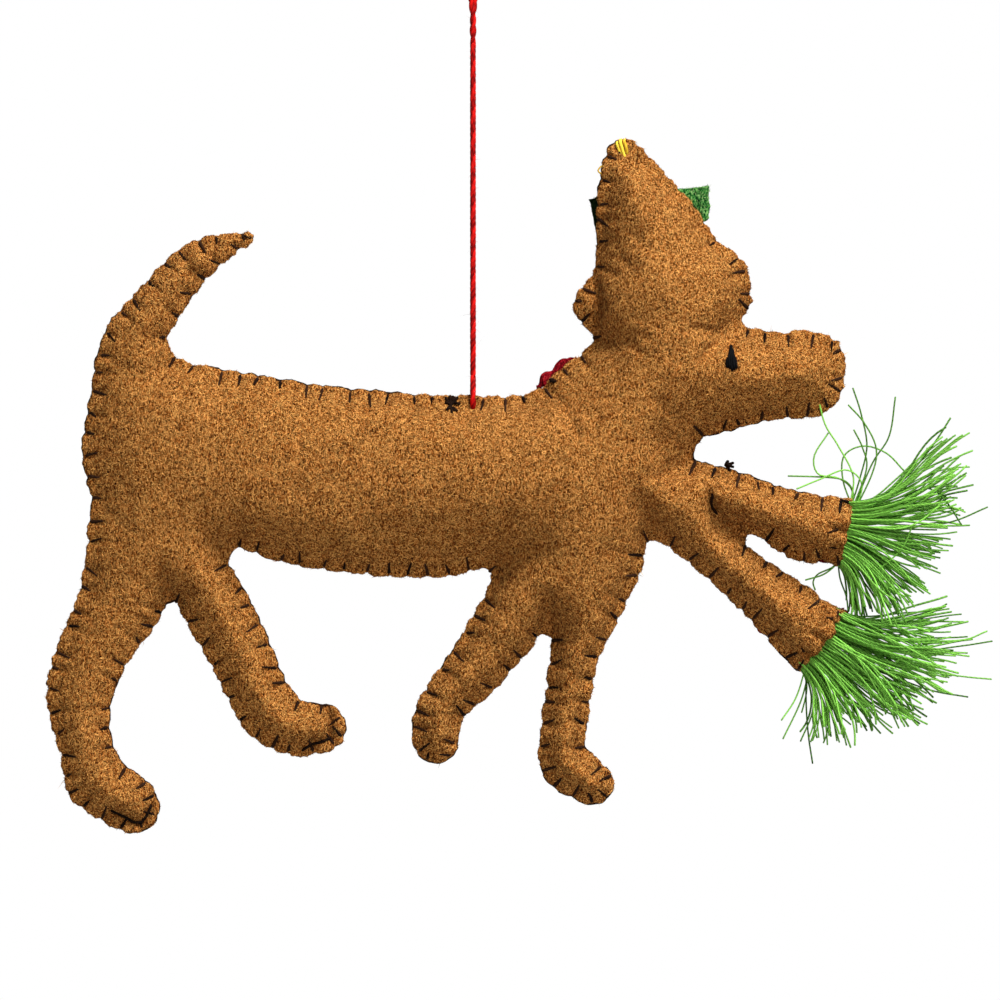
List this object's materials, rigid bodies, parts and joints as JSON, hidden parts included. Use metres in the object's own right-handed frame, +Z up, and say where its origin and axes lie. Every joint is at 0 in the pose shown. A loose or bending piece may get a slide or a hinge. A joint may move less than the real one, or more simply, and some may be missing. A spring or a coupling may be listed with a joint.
{
  "type": "hanging felt ornament",
  "caption": "Stuffed felt walking dog with a pointed hat and a fringed scarf, blanket-stitched round its edge, hanging from a twisted red cord",
  "frame": {"origin": "the hang point: the inside top of the cord's loop, where it lies on a hook", "axes": "+Z up along the hanging cord; +X the way the dog walks, towards its muzzle; -Y faces the plain side, which the picture shows"},
  "size_m": [0.152, 0.0224, 0.149],
  "materials": {
    "red_cord": "twisted thread",
    "brown_felt": "matte felt",
    "stuffing": "matte fibre",
    "black_thread": "matte thread",
    "green_felt": "matte felt",
    "dark_red_felt": "matte felt",
    "yellow_thread": "soft thread",
    "green_thread": "soft thread"
  },
  "bodies": {
    "hook_loop": {"hanging_eye": "red_cord"},
    "cord": {"cord_strand_near": "red_cord", "cord_strand_far": "red_cord"},
    "bridle": {"cord_bridle": "red_cord"},
    "ornament": {"felt_panel_plain_side": "brown_felt", "felt_panel_scarf_side": "brown_felt", "stuffing_torso": "stuffing", "stuffing_head": "stuffing", "stuffing_muzzle": "stuffing", "stuffing_hat": "stuffing", "stuffing_hind_leg_trailing": "stuffing", "stuffing_hind_leg_leading": "stuffing", "stuffing_fore_leg_leading": "stuffing", "stuffing_fore_leg_trailing": "stuffing", "stuffing_tail": "stuffing", "stuffing_scarf_tail_upper": "stuffing", "stuffing_scarf_tail_lower": "stuffing", "eye_stitch_plain_side": "black_thread", "eye_stitch_scarf_side": "black_thread", "hat_band": "green_felt", "scarf_wrap": "dark_red_felt", "scarf_tail_upper_felt": "dark_red_felt", "scarf_tail_lower_felt": "dark_red_felt", "hat_tip_thread": "yellow_thread", "tassel_upper": "green_thread", "tassel_lower": "green_thread"}
  },
  "joints": [
    {"name": "sway", "type": "hinge", "parent": "hook_loop", "child": "cord", "pos_m": [0, 0, -0.022], "axis": [0, 1, 0], "range_deg": [-30, 30]},
    {"name": "turn", "type": "hinge", "parent": "cord", "child": "bridle", "pos_m": [0, 0, -0.074], "axis": [0, 0, 1], "continuous": true},
    {"name": "tilt", "type": "hinge", "parent": "bridle", "child": "ornament", "pos_m": [0, 0, -0.08], "axis": [0, 1, 0], "range_deg": [-25, 45]}
  ]
}
